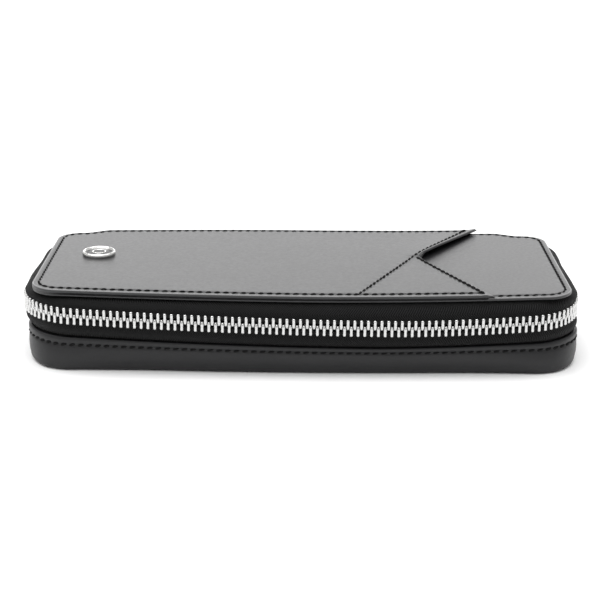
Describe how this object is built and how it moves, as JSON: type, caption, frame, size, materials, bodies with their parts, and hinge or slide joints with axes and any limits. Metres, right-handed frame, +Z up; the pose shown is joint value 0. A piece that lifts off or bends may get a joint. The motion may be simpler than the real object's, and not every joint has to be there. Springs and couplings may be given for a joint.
{
  "type": "fountain pen case",
  "caption": "Zip-around pen case: moulded leather tray with pen loops, folding spine, flat lid with a slanted slip pocket and a round metal emblem, metal zip with slider.",
  "frame": {"origin": "centre of the underside of the tray, at the height of the table", "axes": "+X along the length, from the emblem end to the open end of the pocket; -Y to the long zip front; +Y to the spine; +Z up through the lid"},
  "size_m": [0.1794, 0.0834, 0.0274],
  "materials": {
    "tray_leather": "smooth black, slight sheen",
    "lid_leather": "smooth black, slight sheen",
    "pocket_leather": "smooth black, slight sheen",
    "suede_lining": "matt charcoal nap",
    "fibre_board": "matt pressed fibre board",
    "zip_tape": "black twill tape",
    "zip_teeth": "bright nickel",
    "polished_nickel": "polished",
    "dark_enamel": "glossy dark grey"
  },
  "bodies": {
    "tray": {"tray_shell": "tray_leather", "base_board": "fibre_board", "tray_liner": "suede_lining", "pen_loops_left": "lid_leather", "pen_loops_right": "lid_leather", "lower_zip_tape": "zip_tape", "lower_zip_teeth": "zip_teeth", "stop_lower_left": "polished_nickel", "stop_lower_right": "polished_nickel"},
    "spine": {"spine_leather": "lid_leather", "spine_board": "fibre_board", "spine_liner": "suede_lining"},
    "lid": {"lid_panel": "lid_leather", "lid_board": "fibre_board", "lid_liner": "suede_lining", "pocket_panel": "pocket_leather", "pocket_wedge": "pocket_leather", "emblem_bezel": "polished_nickel", "emblem_disc": "dark_enamel", "emblem_rivet": "polished_nickel", "emblem_washer": "polished_nickel", "upper_zip_tape": "zip_tape", "upper_zip_teeth": "zip_teeth", "stop_upper_left": "polished_nickel", "stop_upper_right": "polished_nickel"},
    "slider": {"slider_body": "polished_nickel", "slider_bridge": "polished_nickel"},
    "pull": {"pull_link": "polished_nickel", "pull_tab": "polished_nickel"}
  },
  "joints": [
    {"name": "spine_fold", "type": "hinge", "parent": "tray", "child": "spine", "pos_m": [0, 0.0386, 0.00915], "axis": [-1, 0, 0], "range_deg": [0, 90]},
    {"name": "lid_fold", "type": "hinge", "parent": "spine", "child": "lid", "pos_m": [0, 0.0386, 0.02325], "axis": [-1, 0, 0], "range_deg": [0, 90], "deforming": ["upper_zip_tape", "upper_zip_teeth"]},
    {"name": "slider_turn", "type": "hinge", "parent": "tray", "child": "slider", "pos_m": [0.0766, 0.0256, 0.0163], "axis": [0, 0, -1], "range_deg": [0, 90], "deforming": ["lower_zip_teeth"]},
    {"name": "pull_swing", "type": "hinge", "parent": "slider", "child": "pull", "pos_m": [0.0766, 0.04185, 0.0163], "axis": [1, 0, 0], "range_deg": [0, 150]}
  ],
  "couplings": [
    {"joint": "lid_fold", "follows": "spine_fold", "ratio": 1}
  ]
}
